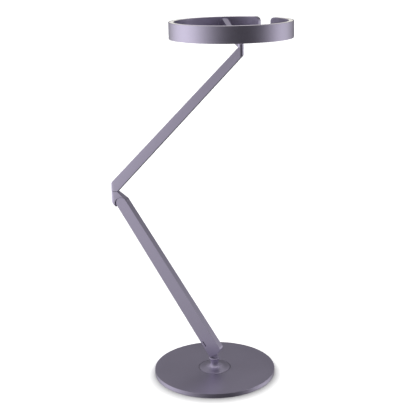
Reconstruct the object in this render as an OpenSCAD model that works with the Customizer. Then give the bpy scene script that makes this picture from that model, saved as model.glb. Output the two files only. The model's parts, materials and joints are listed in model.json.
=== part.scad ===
// Swing arm desk lamp: a round base, two folding arms and a C-shaped ring head.
// X runs along the arms, the lamp stands on Z = 0 and the base is centred on the origin.

/* [Base] */
// Diameter of the base cover
base_d = 230; // [180:1:280]
// Height of the base cover's top face
base_h = 8.8; // [8.4:0.1:14]
// Thickness of the cover's skirt
cover_wall = 2; // [1.5:0.1:3]
// Thickness of the cover's top plate
cover_top = 2; // [1.8:0.1:2.6]
// Gap between the floor and the cover's lower edge
cover_lift = 0.8; // [0.5:0.1:0.9]
// Thickness of the anti-slip pad
pad_t = 1; // [1:0.1:1.5]

/* [Stem] */
// Diameter of the round plate at the foot of the stem
rosette_d = 60; // [50:1:80]
// Width of the groove round that plate
groove_w = 0.8; // [0.5:0.1:1.5]
// Radius of the stem at its waist
waist_r = 7.4; // [6.8:0.1:9]
// Radius of the stem at its shoulder
shoulder_r = 10; // [9:0.1:11]
// Height of the lower hinge axis above the floor
foot_h = 46.7; // [45:0.1:60]
// Radius of the tongue at the top of the stem
foot_tongue_r = 6; // [5:0.1:7]

/* [Lower arm] */
// Distance between the two hinge axes
lower_len = 330.7; // [250:0.1:420]
// Width at the foot
foot_w = 28.6; // [26:0.1:34]
// Width at the elbow
elbow_w = 22.3; // [20:0.1:26]
// Thickness
lower_t = 15; // [14.5:0.1:20]
// Length of the arm below the lower hinge axis
foot_end = 10; // [8:0.1:12]
// Radius of the foot's upper corner
foot_corner_r = 8; // [4:0.1:10]
// Lean from the vertical
lean = 33.9; // [25:0.1:45]

/* [Elbow] */
// Distance from the elbow hinge axis back to the swivel axis
knuckle_reach = 18.6; // [17:0.1:24]
// Height of the swivel joint above the elbow hinge axis
knuckle_rise = 21.8; // [20:0.1:28]
// Width of the open crescent beside the arm's round end
crescent_w = 3; // [2.5:0.1:4]
// Height of the skirt's outer corner above the elbow hinge axis
skirt_top = 1.5; // [0:0.1:4]
// Land of the swivel joint in front of its axis
elbow_toe = 9.1; // [8:0.1:12]

/* [Upper arm] */
// Level distance between the two swivel axes
upper_run = 262; // [200:1:340]
// Height between the two swivel joints
upper_rise = 278.6; // [220:0.1:340]
// Thickness
upper_t = 10; // [9.6:0.1:12]
// Height of the upright end at the elbow, on its axis
elbow_heel = 19.4; // [18:0.1:24]
// Height of the upright end at the head
head_heel = 13; // [12.5:0.1:18]
// Land of the head joint behind its axis
head_toe = 3.2; // [2:0.1:4]

/* [Head arm] */
// Turn of the head arm about the upright axis, from the upper arm's heading
head_yaw = 124.8; // [60:0.1:180]
// Height of the head arm over its swivel axis
hub_h = 7; // [6.5:0.1:10]
// Height of the head arm where it meets the ring
head_arm_end_h = 23.2; // [18:0.1:26]

/* [Ring] */
// Outer diameter of the ring
ring_d = 219; // [180:1:260]
// Height of the ring
ring_h = 29; // [25:0.5:36]
// Width of the ring's section
ring_w = 10.5; // [9:0.1:14]
// Thickness of its metal walls
ring_wall = 1.5; // [1:0.1:2]
// Height of the ring's lower edge above the head joint
ring_lift = 14.4; // [12:0.1:20]
// Distance from the head joint to the ring's centre along the head arm
ring_along = 25.8; // [10:0.1:40]
// Distance from the head arm to the ring's centre
ring_aside = 10.7; // [0:0.1:20]
// Angle of the gap's middle, from the head arm's heading
gap_turn = -51.6; // [-90:0.1:-40]
// Angle that the gap takes
gap_angle = 15.5; // [8:0.5:30]
// Radius of the gap's rounded corners
lobe_corner_r = 8.5; // [6:0.1:9]

/* [Fits] */
// Radial clearance of pins and bushes
fit_gap = 0.05; // [0.03:0.01:0.08]
// Side clearance of the hinge tongues
side_gap = 0.05; // [0.03:0.01:0.1]
// Clearance between the arm's round end and the knuckle's seat
seat_gap = 0.35; // [0.3:0.05:0.6]
// Thickness of the friction washers
washer_t = 0.5; // [0.4:0.1:0.8]
// Thickness of the hinge tongues
tongue_t = 6; // [5:0.1:6.5]
// Radius of the hinge pins
pin_r = 2.5; // [2:0.1:3]

/* [Hidden] */

$fn = 96;
eps = 0.01;
big = 400;
metal = "#8b859c";
steel = "silver";

// Base
weight_top = base_h - cover_top;
weight_gap = 0.3;
weight_d = base_d - 2 * (cover_wall + weight_gap);
pad_inset = 5;
hub_r = 9;
stub_r = 6;
bush_r = 11;
ledge_h = 4.4;
nut_pocket_r = 15.5;
stem_washer_t = 0.8;
nut_h = 2;
nut_r = 11;
glide_t = 0.5;
rosette_top = base_h + 0.2;
lead_bore_r = 2;
screw_ring_r = base_d * 0.35;
screw_r = 1.5;
screw_head_r = 3;
screw_head_h = 1.6;
screw_bite = 1.3;
screw_hole_gap = 0.2;
head_gap = 0.1;
screw_count = 3;
board_size = [56, 26, 1.2];
board_y = 58;
board_pocket_top = weight_top - 1.2;
board_gap = 1;
inlet_r = 2.5;
inlet_bore_r = 1.7;
inlet_z = pad_t + 0.3 + inlet_r;
inlet_depth = 8;
inlet_body = [9, 10, 2 * inlet_r];
inlet_body_gap = 0.5;
inlet_gap = 0.15;
contact_r = 0.5;
inlet_face = base_d / 2 - 0.4;

// Stem
foot_sweep_r = norm([foot_w / 2, foot_end]);
shoulder_z = foot_h - foot_sweep_r - 0.6;
waist_z = rosette_top + 8;

// Hinges
slot_w = tongue_t + 2 * washer_t + 2 * side_gap;
foot_slot_side = foot_tongue_r + 0.4;
cap_r = pin_r + 2;
cap_t = 1.2;
pin_blind = 2.2;
washer_r = 5.4;
elbow_r = elbow_w / 2;

// Lower arm
arm_wall = 2.2;
lead_r = 1;
lower_cavity_from = 24;
lower_cavity_to = lower_len - elbow_r - 6;
lower_cavity_inset = arm_wall + 0.8;
lead_slot = [4, 3];
tension_slot = [2, 11.6];
tension_slot_x = -9.3;
tension_slot_z = 17.5;

// Elbow: the pivot of the lower arm's upper end, then the swivel joint on the knuckle
elbow_x = -lower_len * sin(lean);
elbow_z = foot_h + lower_len * cos(lean);
swivel_x = elbow_x - knuckle_reach;
swivel_z = elbow_z + knuckle_rise;
flare_z = 8;
swivel_pin_r = 2.5;
swivel_bush_r = 3.3;
knuckle_pin_depth = 11;
plate_floor = 5;

// Upper arm
upper_r = upper_t / 2;
upper_slope = (upper_rise - elbow_heel) / (upper_run - head_toe);
upper_angle = atan(upper_slope);
elbow_bush_h = 11;
head_bush_h = 7;
grub_r = 1.25;
upper_wall = 2;
cavity_end = 34;
cavity_t = upper_t - 2 * upper_wall;
cavity_w = 8;

// Head
head_x = swivel_x + upper_run;
head_z = swivel_z + upper_rise;
hub_pin_depth = 5;
ring_r = ring_d / 2;
ring_inner_r = ring_r - ring_w;
ring_mid_r = ring_r - ring_w / 2;
ring_mid_z = ring_lift + ring_h / 2;
wall_u = ring_along + sqrt(pow(ring_inner_r, 2) - pow(ring_aside, 2));
pad_u = wall_u - 3.2;
pad_r = 12;
pad_seat_gap = 0.1;
tilt_pin_r = 3;
tilt_pin_in = 12;
tilt_pin_out = 1.6;
tilt_grub_l = 5;
web_t = 3;
board_w = 6;
led_board_t = 1;
led_size = [2.8, 2.8, 0.7];
led_count = 40;
diffuser_t = 2;
diffuser_gap = 0.1;
diffuser_sink = 0.3;
lobe_len = 10;
lobe_angle = lobe_len / ring_mid_r * 180 / PI;
channel_start = gap_turn + gap_angle / 2 + lobe_angle;
channel_sweep = 360 - gap_angle - 2 * lobe_angle;

// Places a shape in the lower arm's frame: origin on the foot pin, Z up the arm
module in_lower() translate([0, 0, foot_h]) rotate([0, -lean, 0]) children();
// Origin on the elbow pin, axes level
module at_elbow() translate([elbow_x, 0, elbow_z]) children();
// Origin on the swivel joint's face at the elbow
module at_swivel() translate([swivel_x, 0, swivel_z]) children();
// Origin on the head joint's face, X along the head arm
module in_head() translate([head_x, 0, head_z]) rotate(head_yaw) children();
// The ring's own frame: origin at its centre, on its middle plane
module in_ring() in_head() translate([ring_along, ring_aside, ring_mid_z]) children();
// Stands an outline drawn in X and Z upright, with the given thickness across Y
module slab(t) rotate([90, 0, 0]) translate([0, 0, -t / 2]) linear_extrude(t) children();
// A rod along Y from one place to another
module rod_y(r, from, to) translate([0, from, 0]) rotate([-90, 0, 0]) cylinder(r = r, h = to - from);
// A sleeve
module sleeve(r_in, r_out, h) difference() {
    cylinder(r = r_out, h = h);
    translate([0, 0, -1]) cylinder(r = r_in, h = h + 2);
}
// A band of the ring's section over part of its turn
module band(r_from, r_to, z_from, z_to, start, sweep)
    rotate(start) rotate_extrude(angle = sweep, $fn = 180)
        translate([r_from, z_from]) square([r_to - r_from, z_to - z_from]);

// ---- Base ----
module screw_places() for (i = [0 : screw_count - 1]) rotate(30 + i * 360 / screw_count)
    translate([screw_ring_r, 0, 0]) children();

module base_cover() color(metal) difference() {
    translate([0, 0, cover_lift]) cylinder(d = base_d, h = base_h - cover_lift, $fn = 180);
    translate([0, 0, -1]) cylinder(d = base_d - 2 * cover_wall, h = weight_top + 1, $fn = 180);
    cylinder(d = rosette_d + 2 * groove_w, h = base_h + 1, $fn = 180);
    screw_places() cylinder(r = screw_r + fit_gap, h = weight_top + screw_bite);
    translate([0, 0, inlet_z]) rod_y(inlet_r + inlet_gap, base_d / 2 - cover_wall - 2, base_d / 2 + 1);
}

module base_weight() color("dimgray") difference() {
    translate([0, 0, pad_t]) cylinder(d = weight_d, h = weight_top - pad_t, $fn = 180);
    cylinder(r = bush_r + fit_gap, h = base_h);
    cylinder(r = nut_pocket_r, h = ledge_h);
    screw_places() {
        cylinder(r = screw_r + screw_hole_gap, h = base_h);
        cylinder(r = screw_head_r + screw_hole_gap, h = pad_t + screw_head_h + head_gap);
    }
    translate([-board_size.x / 2 - board_gap, board_y - board_size.y / 2 - board_gap, 0])
        cube([board_size.x + 2 * board_gap, board_size.y + 2 * board_gap, board_pocket_top]);
    translate([-inlet_body.x / 2 - inlet_body_gap, board_y, 0])
        cube([inlet_body.x + 2 * inlet_body_gap, base_d / 2, inlet_z + inlet_r + 0.1]);
    translate([-lead_slot.x / 2, 0, 0]) cube([lead_slot.x, board_y, ledge_h]);
}

module base_pad() color("#2a2a2c") cylinder(d = base_d - 2 * pad_inset, h = pad_t, $fn = 180);

module base_screws() color(steel) screw_places() {
    translate([0, 0, pad_t + head_gap]) {
        cylinder(r = screw_head_r, h = screw_head_h);
        cylinder(r = screw_r, h = weight_top + screw_bite - pad_t - head_gap);
    }
}

module swivel_bush() color("#c9a35a") translate([0, 0, ledge_h])
    sleeve(hub_r + fit_gap, bush_r, weight_top - ledge_h);

module power_inlet() color("#222226") difference() {
    union() {
        translate([-inlet_body.x / 2, inlet_face - inlet_depth - inlet_body.y, inlet_z - inlet_r])
            cube(inlet_body);
        translate([0, 0, inlet_z]) rod_y(inlet_r, inlet_face - inlet_depth - 1, inlet_face);
    }
    translate([0, 0, inlet_z]) rod_y(inlet_bore_r, inlet_face - inlet_depth, inlet_face + 1);
}

module inlet_contact() color(steel) translate([0, 0, inlet_z])
    rod_y(contact_r, inlet_face - inlet_depth, inlet_face - 1.5);

module driver_board() color("#20553a")
    translate([-board_size.x / 2, board_y - board_size.y / 2, board_pocket_top - board_size.z])
        cube(board_size);

module driver_parts() color("#3a3a3d") translate([0, board_y, board_pocket_top - board_size.z]) {
    part_h = board_pocket_top - board_size.z - pad_t - 0.3;
    for (x = [-20, -8, 6]) translate([x, -4, -part_h]) cube([8, 8, part_h]);
    for (x = [-18, -6, 8, 20]) translate([x, 9, -part_h + 0.6]) cylinder(r = 2, h = part_h - 0.6);
    translate([17, -10, -part_h + 0.4]) cube([8, 12, part_h - 0.4]);
}

// ---- Stem ----
// The stem's outline: a low cone, a cove up to the waist, then a tulip flare to the shoulder
function stem_side() =
    let (cone_r = 13.5, cone_z = rosette_top + 1.6, steps = 8, shoulder_edge = 1.6)
    concat(
        [[rosette_d / 2, weight_top + glide_t], [rosette_d / 2, rosette_top - 0.3],
         [rosette_d / 2 - 0.4, rosette_top]],
        [for (i = [0 : steps]) let (a = 90 * i / steps)
            [cone_r - (cone_r - waist_r) * sin(a), waist_z - (waist_z - cone_z) * cos(a)]],
        [for (i = [1 : steps]) let (k = i / steps)
            [waist_r + (shoulder_r - waist_r) * k * k, waist_z + (shoulder_z - shoulder_edge - waist_z) * k]],
        [for (i = [1 : 4]) let (a = 90 * i / 4)
            [shoulder_r - shoulder_edge * (1 - cos(a)), shoulder_z - shoulder_edge * (1 - sin(a))]]);

module stem() color(metal) difference() {
    union() {
        rotate_extrude() polygon(concat([[0, weight_top + glide_t]], stem_side(), [[0, shoulder_z]]));
        translate([0, 0, ledge_h]) cylinder(r = hub_r, h = weight_top + glide_t - ledge_h + eps);
        translate([0, 0, pad_t + 0.4]) cylinder(r = stub_r, h = ledge_h);
        slab(tongue_t) {
            translate([-foot_tongue_r, shoulder_z - 2]) square([2 * foot_tongue_r, foot_h - shoulder_z + 2]);
            translate([0, foot_h]) circle(r = foot_tongue_r);
        }
    }
    cylinder(r = lead_bore_r, h = shoulder_z - 3);
    translate([0, 0, foot_h]) rod_y(pin_r + fit_gap, -lower_t, lower_t);
}

module glide_washer() color("ivory") translate([0, 0, weight_top])
    sleeve(hub_r + 0.1, rosette_d / 2 - 1, glide_t);

module stem_washer() color(steel) translate([0, 0, ledge_h - side_gap - stem_washer_t])
    sleeve(stub_r + fit_gap, nut_pocket_r - 1, stem_washer_t);

module stem_nut() color("goldenrod") translate([0, 0, ledge_h - side_gap - stem_washer_t - nut_h])
    difference() {
        cylinder(r = nut_r, h = nut_h, $fn = 6);
        translate([0, 0, -1]) cylinder(r = stub_r + fit_gap, h = nut_h + 2);
    }

// ---- Lower arm ----
module lower_outline() {
    polygon(concat(
        [[-elbow_w / 2, lower_len], [-foot_w / 2, 0], [-foot_w / 2, -foot_end]],
        [for (i = [0 : 8]) let (a = -90 + 90 * i / 8)
            [foot_w / 2 - foot_corner_r + foot_corner_r * cos(a),
             foot_corner_r - foot_end + foot_corner_r * sin(a)]],
        [[elbow_w / 2, lower_len]]));
    translate([0, lower_len]) circle(r = elbow_r);
}

// Both hinge pins sit in a blind bore in the front cheek and under a cap in the rear one
module pin_bores() {
    rod_y(pin_r + fit_gap, -lower_t / 2 + pin_blind, lower_t / 2 + 1);
    rod_y(cap_r + fit_gap, lower_t / 2 - cap_t - 0.1, lower_t / 2 + 1);
}
module hinge_pin() color(steel) rod_y(pin_r, -lower_t / 2 + pin_blind + 0.1, lower_t / 2 - cap_t - 0.15);
module pin_cap() color(metal) rod_y(cap_r, lower_t / 2 - cap_t, lower_t / 2);
module washer_pair() color("#77706a") for (side = [-1, 1])
    translate([0, side * (slot_w / 2 - washer_t / 2) + washer_t / 2, 0]) rotate([90, 0, 0])
        sleeve(pin_r + fit_gap, washer_r, washer_t);

module lower_arm() color(metal) in_lower() difference() {
    slab(lower_t) lower_outline();
    // Foot slot: open below and on the low side, closed on the upper side
    translate([-foot_w, -slot_w / 2, -foot_end - 1])
        cube([foot_w + foot_slot_side, slot_w, foot_end + 1 + foot_tongue_r + 1]);
    // Elbow slot: round, so that the knuckle's tongue fills it
    translate([0, 0, lower_len]) rod_y(elbow_r + seat_gap, -slot_w / 2, slot_w / 2);
    // Hollow
    slab(lower_t - 2 * arm_wall) polygon([
        [lower_cavity_inset - foot_w / 2, lower_cavity_from], [foot_w / 2 - lower_cavity_inset, lower_cavity_from],
        [elbow_r - arm_wall, lower_cavity_to], [arm_wall - elbow_r, lower_cavity_to]]);
    translate([-lead_slot.x / 2, -lead_slot.y / 2, foot_tongue_r])
        cube([lead_slot.x, lead_slot.y, lower_cavity_from]);
    translate([-lead_slot.x / 2, -lead_slot.y / 2, lower_cavity_to - 1])
        cube([lead_slot.x, lead_slot.y, lower_len - elbow_r - lower_cavity_to + 3]);
    // Slot that the tension screw is reached through
    translate([tension_slot_x - tension_slot.x / 2, -lower_t / 2 - 1, tension_slot_z - tension_slot.y / 2])
        cube([tension_slot.x, 3, tension_slot.y]);
    pin_bores();
    translate([0, 0, lower_len]) pin_bores();
}

module foot_pin() in_lower() hinge_pin();
module foot_pin_cap() in_lower() pin_cap();
module foot_washers() in_lower() washer_pair();
module elbow_pin() in_lower() translate([0, 0, lower_len]) hinge_pin();
module elbow_pin_cap() in_lower() translate([0, 0, lower_len]) pin_cap();
module elbow_washers() in_lower() translate([0, 0, lower_len]) washer_pair();

module lower_lead() color("#2a2a2c") in_lower()
    translate([0, lower_t / 2 - arm_wall - lead_r - 0.1, lower_cavity_from + 1])
        cylinder(r = lead_r, h = lower_cavity_to - lower_cavity_from - 2, $fn = 16);

// ---- Knuckle ----
// Side outline, from the elbow pin: the diagonal edge runs tangent to the arm's round end
function knuckle_outline() =
    let (toe = [elbow_toe - knuckle_reach, knuckle_rise],
         touch = atan2(toe.y, toe.x) - acos(elbow_r / norm(toe)),
         skirt = elbow_r + crescent_w + seat_gap)
    [[-knuckle_reach - upper_r, knuckle_rise], toe, elbow_r * [cos(touch), sin(touch)], [0, 0],
     -skirt * [cos(lean), sin(lean)], [-knuckle_reach - upper_r, skirt_top]];

// The arm's round end sweeps this seat, and the crescent stands open beside it
module seat_outline() rotate(lean) {
    circle(r = elbow_r + seat_gap);
    translate([-crescent_w, 0]) circle(r = elbow_r + seat_gap);
    translate([-crescent_w, -elbow_r - seat_gap]) square([crescent_w, 2 * (elbow_r + seat_gap)]);
}

// The knuckle widens from the upper arm's thickness to the lower arm's
module knuckle_block() {
    half = lower_t / 2;
    low_x = half - knuckle_reach - upper_r;
    hull() {
        translate([-knuckle_reach, 0, knuckle_rise - eps]) cylinder(r = upper_r, h = eps, $fn = 32);
        translate([-knuckle_reach, -upper_r, knuckle_rise - eps]) cube([knuckle_reach, upper_t, eps]);
        translate([low_x, 0, flare_z]) cylinder(r = half, h = eps, $fn = 32);
        translate([low_x, -half, flare_z]) cube([knuckle_reach + elbow_r, lower_t, eps]);
    }
    translate([low_x, 0, -2 * elbow_r]) cylinder(r = half, h = 2 * elbow_r + flare_z + eps);
    translate([low_x, -half, -2 * elbow_r]) cube([knuckle_reach + elbow_r, lower_t, 2 * elbow_r + flare_z + eps]);
}

module knuckle() color(metal) at_elbow() difference() {
    union() {
        difference() {
            intersection() {
                knuckle_block();
                slab(2 * lower_t) polygon(knuckle_outline());
            }
            slab(2 * lower_t) seat_outline();
        }
        // Tongue: a full disc on the pin, joined to the block above it
        slab(tongue_t) circle(r = elbow_r);
        slab(tongue_t) intersection() {
            polygon(knuckle_outline());
            rotate(lean) translate([-big / 2, plate_floor]) square([big, big / 2]);
            translate([-knuckle_reach - upper_r + 2, -big / 2]) square(big);
        }
    }
    rod_y(pin_r + fit_gap, -lower_t, lower_t);
    translate([-knuckle_reach, 0, knuckle_rise - knuckle_pin_depth])
        cylinder(r = swivel_pin_r + fit_gap, h = knuckle_pin_depth + 1);
}

module elbow_swivel_pin() color(steel) at_swivel() translate([0, 0, -knuckle_pin_depth + 0.1])
    cylinder(r = swivel_pin_r, h = knuckle_pin_depth + elbow_bush_h - 0.3);

// ---- Upper arm ----
function upper_outline() = [
    [-upper_r, 0], [elbow_toe, 0], [upper_run + upper_r, upper_rise - head_heel],
    [upper_run + upper_r, upper_rise], [upper_run - head_toe, upper_rise],
    [-upper_r, elbow_heel - upper_r * upper_slope]];

module upper_arm() color(metal) at_swivel() difference() {
    intersection() {
        slab(upper_t) polygon(upper_outline());
        linear_extrude(big) {
            circle(r = upper_r);
            translate([0, -upper_r]) square([upper_run, upper_t]);
            translate([upper_run, 0]) circle(r = upper_r);
        }
    }
    translate([0, 0, -1]) cylinder(r = swivel_bush_r + fit_gap, h = elbow_bush_h + 1);
    translate([upper_run, 0, upper_rise - head_bush_h]) cylinder(r = swivel_bush_r + fit_gap, h = big);
    in_upper_cavity() cube([norm([upper_run, upper_rise]) - 2 * cavity_end, cavity_t, cavity_w]);
    translate([0, 0, elbow_bush_h / 2]) rod_y(grub_r + fit_gap, 0, upper_t);
    translate([upper_run, 0, upper_rise - head_bush_h / 2]) rod_y(grub_r + fit_gap, 0, upper_t);
}

// The hollow's corner nearest the elbow, with X along the arm
module in_upper_cavity() translate([0, 0, elbow_heel / 2 - 3]) rotate([0, -upper_angle, 0])
    translate([cavity_end, -cavity_t / 2, -cavity_w / 2]) children();

module bush(h) color("#c9a35a") sleeve(swivel_pin_r + fit_gap, swivel_bush_r, h);
module elbow_bush() at_swivel() bush(elbow_bush_h);
module head_bush() at_swivel() translate([upper_run, 0, upper_rise - head_bush_h]) bush(head_bush_h);

module upper_grub_screws() color(steel) at_swivel()
    for (place = [[0, elbow_bush_h / 2], [upper_run, upper_rise - head_bush_h / 2]])
        translate([place.x, 0, place.y]) rod_y(grub_r, swivel_bush_r + fit_gap, upper_r - 0.2);

module upper_lead() color("#2a2a2c") at_swivel() in_upper_cavity()
    translate([2, cavity_t / 2, lead_r + 0.1]) rotate([0, 90, 0])
        cylinder(r = lead_r, h = norm([upper_run, upper_rise]) - 2 * cavity_end - 4, $fn = 16);

// ---- Head arm ----
function head_arm_outline() =
    let (end_u = pad_u - side_gap, top_slope = (ring_mid_z + head_arm_end_h / 2 - hub_h) / end_u)
    [[-upper_r, 0], [head_toe, 0], [end_u, ring_mid_z - head_arm_end_h / 2],
     [end_u, ring_mid_z + head_arm_end_h / 2], [-upper_r, hub_h - upper_r * top_slope]];

module head_arm() color(metal) in_head() difference() {
    intersection() {
        slab(upper_t) polygon(head_arm_outline());
        linear_extrude(big) {
            circle(r = upper_r);
            translate([0, -upper_r]) square([ring_d, upper_t]);
        }
    }
    translate([0, 0, -1]) cylinder(r = swivel_pin_r + fit_gap, h = hub_pin_depth + 1);
    translate([pad_u - tilt_pin_in, 0, ring_mid_z]) rotate([0, 90, 0])
        cylinder(r = tilt_pin_r + fit_gap, h = tilt_pin_in + 1);
    translate([pad_u - tilt_pin_in / 2, 0, 0]) cylinder(r = grub_r + fit_gap, h = ring_mid_z);
}

module head_swivel_pin() color(steel) in_head() translate([0, 0, -head_bush_h + 0.3])
    cylinder(r = swivel_pin_r, h = head_bush_h + hub_pin_depth - 0.4);

module tilt_grub_screw() color(steel) in_head()
    translate([pad_u - tilt_pin_in / 2, 0, ring_mid_z - tilt_pin_r - side_gap - tilt_grub_l])
        cylinder(r = grub_r, h = tilt_grub_l);

// ---- Ring ----
module tilt_pin() color(steel) in_head() translate([pad_u - tilt_pin_in + 0.2, 0, ring_mid_z])
    rotate([0, 90, 0]) cylinder(r = tilt_pin_r, h = tilt_pin_in + tilt_pin_out - 0.3);

module pivot_pad() color(metal) in_head() difference() {
    intersection() {
        translate([pad_u, 0, ring_mid_z]) rotate([0, 90, 0]) cylinder(r = pad_r, h = 10);
        translate([ring_along, ring_aside, 0]) cylinder(r = ring_inner_r - pad_seat_gap, h = big, $fn = 180);
    }
    translate([pad_u - 1, 0, ring_mid_z]) rotate([0, 90, 0])
        cylinder(r = tilt_pin_r + fit_gap, h = tilt_pin_out + 1);
}

module ring_frame() color(metal) in_ring() {
    half = ring_h / 2;
    band(ring_r - ring_wall, ring_r, -half, half, channel_start, channel_sweep);
    band(ring_inner_r, ring_inner_r + ring_wall, -half, half, channel_start, channel_sweep);
    band(ring_inner_r + ring_wall - eps, ring_r - ring_wall + eps, -web_t / 2, web_t / 2,
         channel_start, channel_sweep);
}

// A lobe's end: the ring's full section with two rounded corners beside the gap
module lobe(side) {
    at = gap_turn + side * (gap_angle / 2 + lobe_angle);
    half = ring_h / 2;
    intersection() {
        band(ring_inner_r, ring_r, -half, half, at - (side > 0 ? lobe_angle : 0), lobe_angle);
        rotate(at) translate([ring_inner_r - 1, 0, 0]) rotate([90, 0, 90]) linear_extrude(ring_w + 2)
            mirror([side > 0 ? 1 : 0, 0]) {
                reach = lobe_len - lobe_corner_r;
                translate([-1, -half]) square([reach + 1, ring_h]);
                translate([-1, lobe_corner_r - half]) square([lobe_len + 1, ring_h - 2 * lobe_corner_r]);
                for (z = [-1, 1]) translate([reach, z * (half - lobe_corner_r)]) circle(r = lobe_corner_r);
            }
    }
}
module end_cap_left() color(metal) in_ring() lobe(1);
module end_cap_right() color(metal) in_ring() lobe(-1);

module led_board() {
    band(ring_mid_r - board_w / 2, ring_mid_r + board_w / 2, web_t / 2, web_t / 2 + led_board_t,
         channel_start + 1, channel_sweep - 2);
    for (i = [0 : led_count - 1]) rotate(channel_start + (i + 0.5) * channel_sweep / led_count)
        translate([ring_mid_r - led_size.x / 2, -led_size.y / 2, web_t / 2 + led_board_t - eps])
            cube(led_size);
}
module led_board_top() color("#e8e6da") in_ring() led_board();
module led_board_bottom() color("#e8e6da") in_ring() mirror([0, 0, 1]) led_board();

module diffuser() band(
    ring_inner_r + ring_wall + diffuser_gap, ring_r - ring_wall - diffuser_gap,
    ring_h / 2 - diffuser_sink - diffuser_t, ring_h / 2 - diffuser_sink, channel_start, channel_sweep);
module diffuser_top() color("ivory") in_ring() diffuser();
module diffuser_bottom() color("ivory") in_ring() mirror([0, 0, 1]) diffuser();

base_cover();
base_weight();
base_pad();
base_screws();
swivel_bush();
power_inlet();
inlet_contact();
driver_board();
driver_parts();
stem();
glide_washer();
stem_washer();
stem_nut();
lower_arm();
foot_pin();
foot_pin_cap();
foot_washers();
elbow_pin();
elbow_pin_cap();
elbow_washers();
lower_lead();
knuckle();
elbow_swivel_pin();
upper_arm();
elbow_bush();
head_bush();
upper_grub_screws();
upper_lead();
head_arm();
head_swivel_pin();
tilt_grub_screw();
ring_frame();
pivot_pad();
tilt_pin();
end_cap_left();
end_cap_right();
led_board_top();
led_board_bottom();
diffuser_top();
diffuser_bottom();
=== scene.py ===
"""Looks of the swing arm desk lamp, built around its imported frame, in metres."""

import json
import math

import bmesh
import bpy
from mathutils import Matrix, Vector

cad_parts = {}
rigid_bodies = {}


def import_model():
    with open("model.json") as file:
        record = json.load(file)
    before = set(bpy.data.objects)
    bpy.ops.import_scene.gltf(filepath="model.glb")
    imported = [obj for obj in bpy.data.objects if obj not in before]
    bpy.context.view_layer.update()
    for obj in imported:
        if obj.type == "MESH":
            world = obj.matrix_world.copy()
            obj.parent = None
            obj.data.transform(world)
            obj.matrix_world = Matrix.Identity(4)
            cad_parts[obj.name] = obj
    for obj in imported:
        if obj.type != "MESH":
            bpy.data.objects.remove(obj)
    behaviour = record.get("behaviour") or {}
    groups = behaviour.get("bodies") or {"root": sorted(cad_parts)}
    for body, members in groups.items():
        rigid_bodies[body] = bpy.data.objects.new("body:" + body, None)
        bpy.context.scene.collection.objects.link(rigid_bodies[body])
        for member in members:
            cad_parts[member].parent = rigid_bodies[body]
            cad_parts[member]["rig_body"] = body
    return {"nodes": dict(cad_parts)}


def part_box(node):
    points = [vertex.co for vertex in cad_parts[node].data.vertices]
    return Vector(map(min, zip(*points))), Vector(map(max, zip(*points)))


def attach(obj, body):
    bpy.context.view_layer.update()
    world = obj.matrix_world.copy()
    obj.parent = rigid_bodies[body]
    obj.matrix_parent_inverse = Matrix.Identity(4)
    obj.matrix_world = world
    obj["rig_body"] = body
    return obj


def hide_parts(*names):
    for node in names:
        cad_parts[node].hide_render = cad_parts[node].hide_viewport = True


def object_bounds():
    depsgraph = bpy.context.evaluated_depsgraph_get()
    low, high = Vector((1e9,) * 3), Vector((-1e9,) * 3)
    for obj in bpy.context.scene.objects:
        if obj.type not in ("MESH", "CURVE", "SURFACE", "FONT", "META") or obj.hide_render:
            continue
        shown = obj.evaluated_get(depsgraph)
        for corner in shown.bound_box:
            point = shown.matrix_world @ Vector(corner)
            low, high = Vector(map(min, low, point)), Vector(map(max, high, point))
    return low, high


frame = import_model()
cad_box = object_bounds()

MM = 0.001
# Vertices closer than this are one, and faces flatter to each other than this are one
WELD = 0.001 * MM
FLAT_ANGLE = math.radians(0.2)
# Edges sharper than this are broken, in this many steps
EDGE_ANGLE = math.radians(28)
EDGE_STEPS = 3

scene = bpy.context.scene

# ---- Camera ----
CAMERA_PLACE = Vector((0.6298, -1.5057, 0.7897))
CAMERA_HEADING = math.radians(22.96)
CAMERA_PITCH = math.radians(-15.82)
CAMERA_ROLL = math.radians(1.03)
LENS_MM = 79.8
CAMERA_REACH = 50


def add_camera():
    """The camera stands in front of the lamp and to its right, and looks slightly down."""
    data = bpy.data.cameras.new("camera")
    data.lens, data.clip_end = LENS_MM, CAMERA_REACH
    camera = bpy.data.objects.new("camera", data)
    scene.collection.objects.link(camera)
    heading = Matrix.Rotation(CAMERA_HEADING, 4, "Z")
    pitch = Matrix.Rotation(math.pi / 2 + CAMERA_PITCH, 4, "X")
    roll = Matrix.Rotation(-CAMERA_ROLL, 4, "Z")
    camera.matrix_world = Matrix.Translation(CAMERA_PLACE) @ (heading @ pitch) @ roll
    scene.camera = camera


# ---- Shader maths ----
class Socket:
    """A shader socket that takes part in sums as a plain number does."""

    def __init__(self, shader, socket):
        self.shader, self.socket = shader, socket

    def output(self, name):
        """Another output of the same node."""
        return Socket(self.shader, self.socket.node.outputs[name])

    def maths(self, operation, first, second):
        return self.shader.node("Math", {"operation": operation}, {0: first, 1: second})

    def __add__(self, other):
        return self.maths("ADD", self, other)

    def __rsub__(self, other):
        return self.maths("SUBTRACT", other, self)

    def __mul__(self, other):
        return self.maths("MULTIPLY", self, other)

    def __pow__(self, other):
        return self.maths("POWER", self, other)

    __radd__ = __add__
    __rmul__ = __mul__


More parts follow.
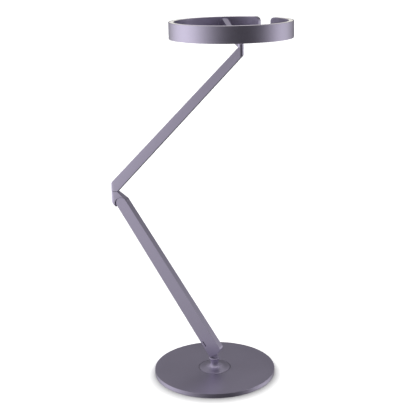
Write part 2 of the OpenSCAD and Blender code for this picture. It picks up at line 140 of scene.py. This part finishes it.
class Shader:
    """The node tree of a material or of the world."""

    def __init__(self, tree):
        self.tree = tree
        tree.nodes.clear()

    def node(self, kind, settings=None, sockets=None, out=0):
        """Makes a node, with its settings first and then its sockets' values or links."""
        made = self.tree.nodes.new("ShaderNode" + kind)
        for name, value in (settings or {}).items():
            if name == "stops":
                ramp = made.color_ramp
                while len(ramp.elements) < len(value):
                    ramp.elements.new(0.5)
                for element, (place, colour) in zip(ramp.elements, value):
                    element.position, element.color = place, (*colour, 1)
            else:
                setattr(made, name, value)
        for name, value in (sockets or {}).items():
            if isinstance(value, Socket):
                self.tree.links.new(value.socket, made.inputs[name])
            else:
                made.inputs[name].default_value = value
        return Socket(self, made.outputs[out]) if made.outputs else None

    def place(self):
        """Where the point lies on the lamp, in metres."""
        return self.node("TexCoord").output("Object")

    def noise(self, vector, size, detail=2.0, roughness=0.5):
        """Soft noise whose blotches are about that size across, in metres."""
        return self.node("TexNoise", None, {
            "Vector": vector, "Scale": 1 / size, "Detail": detail, "Roughness": roughness})

    def colours(self, mask, low, high):
        """A colour that goes from low to high as the mask goes from 0 to 1."""
        return self.node("ValToRGB", {"stops": [(0, low), (1, high)]}, {0: mask})

    def finish(self, colour, roughness, metallic=0.0, bump=None, depth=0.0, **constants):
        """The surface itself: depth is the bump's height in metres."""
        sockets = {"Base Color": colour, "Roughness": roughness, "Metallic": metallic, **constants}
        if bump is not None:
            sockets["Normal"] = self.node("Bump", None, {
                "Height": bump, "Distance": depth, "Strength": 1.0})
        surface = self.node("BsdfPrincipled", None, sockets)
        self.node("OutputMaterial", None, {"Surface": surface})


def new_shader(name):
    """A new material and its empty node tree."""
    material = bpy.data.materials.new(name)
    material.use_nodes = True
    return material, Shader(material.node_tree)


# ---- Materials ----
COAT_DARK = (0.385, 0.352, 0.465)
COAT_LIGHT = (0.50, 0.46, 0.59)
COAT_ROUGHNESS = 0.26
COAT_METALLIC = 0.95
# How large the coat's flakes are, their clusters, its haze and the lathe's rings
FLAKE_SIZE = 0.35 * MM
CLUSTER_SIZE = 1.3 * MM
HAZE_SIZE = 60 * MM
RING_SIZE = 0.7 * MM
# The stem's column is blasted matt above its foot plate, over a short ramp
MATT_RAMP = 1.5 * MM
MATT_ROUGHER = 0.26


def satin_coat():
    """Lilac-grey metallic coat with a fine sparkle of flakes."""
    material, s = new_shader("satin_coat")
    place = s.place()
    flakes = s.noise(place, FLAKE_SIZE, 1.0)
    clusters = s.noise(place, CLUSTER_SIZE, 1.0)
    haze = s.noise(place, HAZE_SIZE, 2.0)
    colour = s.colours(flakes * 0.35 + clusters * 0.5 + haze * 0.15, COAT_DARK, COAT_LIGHT)
    roughness = COAT_ROUGHNESS + flakes * 0.08 + haze * 0.05
    s.finish(colour, roughness, COAT_METALLIC, flakes * 0.5 + clusters * 0.5, 0.02 * MM)
    return material


def turned_coat(name="turned_coat", matt_above=None):
    """The same coat over turned metal, with fine rings round the stem: above a height it is matt."""
    material, s = new_shader(name)
    place = s.place()
    flat = s.node("VectorMath", {"operation": "MULTIPLY"}, {0: place, 1: (1, 1, 0)})
    radius = s.node("VectorMath", {"operation": "LENGTH"}, {0: flat}).output("Value")
    rings = s.node("TexNoise", {"noise_dimensions": "1D"}, {
        "W": radius, "Scale": 1 / RING_SIZE, "Detail": 2.0})
    flakes = s.noise(place, FLAKE_SIZE, 1.0)
    haze = s.noise(place, HAZE_SIZE, 2.0)
    colour = s.colours(flakes * 0.5 + rings * 0.3 + haze * 0.2, COAT_DARK, COAT_LIGHT)
    roughness = COAT_ROUGHNESS + rings * 0.1 + haze * 0.05
    if matt_above is not None:
        height = s.node("SeparateXYZ", None, {0: place}).output("Z")
        matt = s.node("MapRange", {"interpolation_type": "SMOOTHSTEP"}, {
            "Value": height, "From Min": matt_above, "From Max": matt_above + MATT_RAMP,
            "To Min": 0.0, "To Max": 1.0})
        roughness = roughness + matt * MATT_ROUGHER
    s.finish(colour, roughness, COAT_METALLIC, flakes * 0.3 + rings * 0.7, 0.03 * MM)
    return material


OPAL_GLOW = 0.22


def opal_plastic():
    """Milky diffuser with a faintly frosted skin, softly lit from behind."""
    material, s = new_shader("opal_plastic")
    place = s.place()
    frost = s.noise(place, 0.4 * MM, 2.0)
    cloud = s.noise(place, 35 * MM, 1.0)
    colour = s.colours(cloud, (0.86, 0.835, 0.775), (0.90, 0.88, 0.83))
    s.finish(colour, 0.38 + frost * 0.12, 0.0, frost, 0.01 * MM,
             **{"Emission Color": colour, "Emission Strength": OPAL_GLOW})
    return material


def cast_iron():
    """Machined grey iron with pores and tool marks."""
    material, s = new_shader("cast_weight")
    place = s.place()
    pores = s.noise(place, 0.9 * MM, 4.0, 0.7)
    stain = s.noise(place, 25 * MM, 3.0)
    colour = s.colours(stain * 0.6 + pores * 0.4, (0.1, 0.098, 0.1), (0.2, 0.2, 0.21))
    s.finish(colour, 0.45 + pores * 0.25, 0.8, pores, 0.06 * MM)
    return material


def pad_rubber():
    """Matt foam rubber with a leathery skin."""
    material, s = new_shader("pad_rubber")
    place = s.place()
    cells = s.node("TexVoronoi", None, {"Vector": place, "Scale": 1 / (1.2 * MM)})
    dust = s.noise(place, 18 * MM, 3.0)
    colour = s.colours(dust, (0.022, 0.022, 0.024), (0.045, 0.044, 0.045))
    s.finish(colour, 0.82 + dust * 0.12, 0.0, cells, 0.1 * MM)
    return material


def bright_steel():
    """Turned steel with fine scratches."""
    material, s = new_shader("bright_steel")
    place = s.place()
    scratches = s.noise(place, 0.25 * MM, 3.0, 0.65)
    tarnish = s.noise(place, 6 * MM, 2.0)
    colour = s.colours(tarnish, (0.5, 0.5, 0.52), (0.66, 0.66, 0.67))
    s.finish(colour, 0.24 + scratches * 0.14, 1.0, scratches, 0.008 * MM)
    return material


def bush_bronze():
    """Sintered bronze, finely porous."""
    material, s = new_shader("bush_bronze")
    place = s.place()
    pores = s.noise(place, 0.3 * MM, 3.0, 0.7)
    colour = s.colours(pores, (0.42, 0.28, 0.12), (0.68, 0.5, 0.25))
    s.finish(colour, 0.4 + pores * 0.2, 0.95, pores, 0.03 * MM)
    return material


def black_plastic():
    """Matt black moulding with a spark-eroded grain."""
    material, s = new_shader("black_plastic")
    place = s.place()
    grain = s.noise(place, 0.45 * MM, 2.0)
    colour = s.colours(grain, (0.018, 0.018, 0.02), (0.034, 0.034, 0.037))
    s.finish(colour, 0.5 + grain * 0.18, 0.0, grain, 0.03 * MM)
    return material


def board_lacquer(name, low, high):
    """Circuit board lacquer over a grid of copper tracks."""
    material, s = new_shader(name)
    place = s.place()
    tracks = s.node("TexBrick", {"offset": 0.5}, {
        "Vector": place, "Scale": 1 / (8 * MM), "Mortar Size": 0.05, "Mortar Smooth": 0.4}, out=1)
    weave = s.noise(place, 0.6 * MM, 2.0)
    colour = s.colours(tracks * 0.7 + weave * 0.3, low, high)
    s.finish(colour, 0.3 + weave * 0.15, 0.0, tracks, 0.03 * MM)
    return material


def moulded(name, low, high, roughness):
    """Plain moulded or pressed material with a fine grain."""
    material, s = new_shader(name)
    grain = s.noise(s.place(), 0.5 * MM, 3.0, 0.6)
    s.finish(s.colours(grain, low, high), roughness + grain * 0.15, 0.0, grain, 0.02 * MM)
    return material


MATERIALS = {
    "satin_coat": satin_coat(),
    "stem_coat": turned_coat("stem_coat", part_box("base_cover")[1].z + MM),
    "turned_coat": turned_coat(),
    "cast_weight": cast_iron(),
    "pad_rubber": pad_rubber(),
    "bright_steel": bright_steel(),
    "bush_bronze": bush_bronze(),
    "black_plastic": black_plastic(),
    "board_green": board_lacquer("board_green", (0.018, 0.1, 0.05), (0.04, 0.19, 0.1)),
    "washer_fibre": moulded("washer_fibre", (0.13, 0.11, 0.095), (0.25, 0.21, 0.18), 0.7),
    "glide_plastic": moulded("glide_plastic", (0.78, 0.77, 0.73), (0.86, 0.85, 0.81), 0.4),
    "board_white": board_lacquer("board_white", (0.76, 0.75, 0.71), (0.86, 0.85, 0.81)),
    "opal_plastic": opal_plastic(),
}

# Finish of each part that keeps its CAD mesh
CAD_FINISH = {
    "base_weight": "cast_weight", "base_pad": "pad_rubber", "base_screws": "bright_steel",
    "swivel_bush": "bush_bronze", "power_inlet": "black_plastic", "inlet_contact": "bright_steel",
    "driver_board": "board_green", "driver_parts": "black_plastic", "glide_washer": "glide_plastic",
    "stem_washer": "bright_steel", "stem_nut": "bush_bronze",
    "foot_pin": "bright_steel", "foot_washers": "washer_fibre", "elbow_pin": "bright_steel",
    "elbow_washers": "washer_fibre", "lower_lead": "black_plastic", "elbow_swivel_pin": "bright_steel",
    "elbow_bush": "bush_bronze", "head_bush": "bush_bronze", "upper_grub_screws": "bright_steel",
    "upper_lead": "black_plastic", "head_swivel_pin": "bright_steel", "tilt_grub_screw": "bright_steel",
    "tilt_pin": "bright_steel", "led_board_top": "board_white", "led_board_bottom": "board_white",
}

# Finish and edge radius, in millimetres, of each part whose edges are broken
SHELLS = {
    "base_cover": ("turned_coat", 0.8),
    "stem": ("stem_coat", 0.25),
    "lower_arm": ("satin_coat", 0.5),
    "foot_pin_cap": ("satin_coat", 0.2),
    "elbow_pin_cap": ("satin_coat", 0.2),
    "knuckle": ("satin_coat", 0.6),
    "upper_arm": ("satin_coat", 0.6),
    "head_arm": ("satin_coat", 0.4),
    "ring_frame": ("satin_coat", 0.3),
    "pivot_pad": ("satin_coat", 0.3),
    "end_cap_left": ("satin_coat", 0.3),
    "end_cap_right": ("satin_coat", 0.3),
    "diffuser_top": ("opal_plastic", 0.25),
    "diffuser_bottom": ("opal_plastic", 0.25),
}
# Shadow gap under the swivel joint at the elbow
SWIVEL_GAP = 0.7 * MM


def paint(piece, finish):
    """Gives every face of a piece one finish."""
    slots = piece.data.materials
    slots.clear()
    slots.append(MATERIALS[finish])


def paint_cad(node, finish):
    """Gives a part that keeps its CAD mesh one finish."""
    for material_slot in frame["nodes"][node].material_slots:
        material_slot.link = "OBJECT"
        material_slot.material = MATERIALS[finish]


def shell(node, finish, edge_mm):
    """A welded copy of a part with its edges rounded, which stands for the part."""
    source = frame["nodes"][node]
    mesh = source.data.copy()
    bm = bmesh.new()
    bm.from_mesh(mesh)
    bmesh.ops.remove_doubles(bm, verts=bm.verts[:], dist=WELD)
    bmesh.ops.dissolve_limit(bm, angle_limit=FLAT_ANGLE, verts=bm.verts[:], edges=bm.edges[:])
    if node == "knuckle":
        # Only the shell is lower here: the swivel joint's two faces meet in the frame
        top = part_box(node)[1].z
        land = [vert for vert in bm.verts if vert.co.z > top - WELD]
        bmesh.ops.translate(bm, verts=land, vec=(0, 0, -SWIVEL_GAP))
    for face in bm.faces:
        face.smooth = True
        face.material_index = 0
    bm.to_mesh(mesh)
    bm.free()
    if mesh.has_custom_normals:
        mesh.attributes.remove(mesh.attributes["custom_normal"])
    mesh.set_sharp_from_angle(angle=EDGE_ANGLE)
    piece = bpy.data.objects.new(node + "_shell", mesh)
    scene.collection.objects.link(piece)
    paint(piece, finish)
    bevel = piece.modifiers.new("edges", "BEVEL")
    bevel.width, bevel.segments = edge_mm * MM, EDGE_STEPS
    bevel.limit_method, bevel.angle_limit = "ANGLE", EDGE_ANGLE
    bevel.harden_normals = True
    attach(piece, source["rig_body"])
    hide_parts(node)
    return piece


# ---- Studio ----
# Each side light: its strength, its direction in degrees and how narrow it is
LEFT_STRENGTH, LEFT_ANGLE, LEFT_HEIGHT, LEFT_NARROW = 1.65, -95, -15, 5
RIGHT_STRENGTH, RIGHT_ANGLE, RIGHT_HEIGHT, RIGHT_NARROW = 1.4, 104, -22, 10
# The share of the side lights that comes from below, and the heights between which the rest fades in
LOW_SHARE, LOW_FROM, LOW_TO = 0.4, -0.52, -0.3
# The light from above, and the heights between which it fades in
TOP_STRENGTH, TOP_FROM, TOP_TO = 1.2, 0.42, 0.95
# The light from everywhere
DIM_STRENGTH = 0.07

FLOOR_SIZE = 40
FLOOR_GAP = 0.05 * MM
FLOOR_WHITE = 0.82
# How much brighter than a matt white the floor looks to the camera, so that it meets the backdrop
FLOOR_LIFT = 1.9
# The shade painted round the base: its radii, its depth and its shift to the camera's side
SHADE_FROM = 109 * MM
SHADE_TO = 137 * MM
SHADE_DEPTH = 0.46
SHADE_SHIFT = 10 * MM


def side_of_camera(angle, height=0):
    """A direction, in degrees to the right of the camera's side of the lamp and above the level."""
    turn = CAMERA_HEADING - math.pi / 2 + math.radians(angle)
    level = math.cos(math.radians(height))
    return (level * math.cos(turn), level * math.sin(turn), math.sin(math.radians(height)))


def add_world():
    """White to look at, while metal sees soft light from the left, the right and above."""
    world = bpy.data.worlds.new("studio")
    world.use_nodes = True
    scene.world = world
    s = Shader(world.node_tree)
    direction = s.node("TexCoord").output("Generated")
    seen = s.node("LightPath").output("Is Camera Ray")

    def glow(towards, tightness):
        along = s.node("VectorMath", {"operation": "DOT_PRODUCT"}, {0: direction, 1: towards})
        return (along.output("Value") * 0.5 + 0.5) ** tightness

    height = s.node("SeparateXYZ", None, {0: direction}).output("Z")

    def rise(low, high):
        return s.node("MapRange", {"interpolation_type": "SMOOTHSTEP"}, {
            "Value": height, "From Min": low, "From Max": high, "To Min": 0.0, "To Max": 1.0})

    left = LEFT_STRENGTH * glow(side_of_camera(LEFT_ANGLE, LEFT_HEIGHT), LEFT_NARROW)
    right = RIGHT_STRENGTH * glow(side_of_camera(RIGHT_ANGLE, RIGHT_HEIGHT), RIGHT_NARROW)
    sides = (left + right) * (LOW_SHARE + (1 - LOW_SHARE) * rise(LOW_FROM, LOW_TO))
    light = DIM_STRENGTH + sides + TOP_STRENGTH * rise(TOP_FROM, TOP_TO)
    strength = seen + light * (1 - seen)
    background = s.node("Background", None, {"Color": (1, 1, 1, 1), "Strength": strength})
    s.node("OutputWorld", None, {"Surface": background})


def add_floor():
    """A white floor that keeps the lamp's shadow, with a painted shade round the base for the camera,
    and that metal doesn't reflect.
    """
    mesh = bpy.data.meshes.new("floor")
    bm = bmesh.new()
    bmesh.ops.create_grid(bm, x_segments=1, y_segments=1, size=FLOOR_SIZE / 2)
    bmesh.ops.translate(bm, verts=bm.verts[:], vec=(0, 0, cad_box[0].z - FLOOR_GAP))
    bm.to_mesh(mesh)
    bm.free()
    floor = bpy.data.objects.new("floor", mesh)
    scene.collection.objects.link(floor)
    material, s = new_shader("white_floor")
    path = s.node("LightPath")
    shift = [SHADE_SHIFT * part for part in side_of_camera(0)]
    away = s.node("VectorMath", {"operation": "DISTANCE"}, {0: s.place(), 1: shift})
    # Painted shade: the floor's colour is darkened for the camera in a soft ring round the base,
    # shifted to the camera's side
    shade = s.node("MapRange", {"interpolation_type": "SMOOTHSTEP"}, {
        "Value": away.output("Value"), "From Min": SHADE_FROM, "From Max": SHADE_TO,
        "To Min": 1 - SHADE_DEPTH, "To Max": 1.0})
    seen = path.output("Is Camera Ray")
    white = FLOOR_WHITE * (1 - seen) + FLOOR_WHITE * FLOOR_LIFT * shade * seen
    grey = s.node("CombineXYZ", None, {"X": white, "Y": white, "Z": white})
    lit = s.node("BsdfDiffuse", None, {"Color": grey})
    clear = s.node("BsdfTransparent")
    mirrored = path.output("Is Glossy Ray") + path.output("Is Transmission Ray")
    surface = s.node("MixShader", None, {0: mirrored, 1: lit, 2: clear})
    s.node("OutputMaterial", None, {"Surface": surface})
    mesh.materials.append(material)


# ---- The lamp in its studio ----
add_camera()
add_world()
add_floor()
for node, finish in CAD_FINISH.items():
    paint_cad(node, finish)
for node, (finish, edge_mm) in SHELLS.items():
    shell(node, finish, edge_mm)

scene.view_settings.view_transform = "Standard"
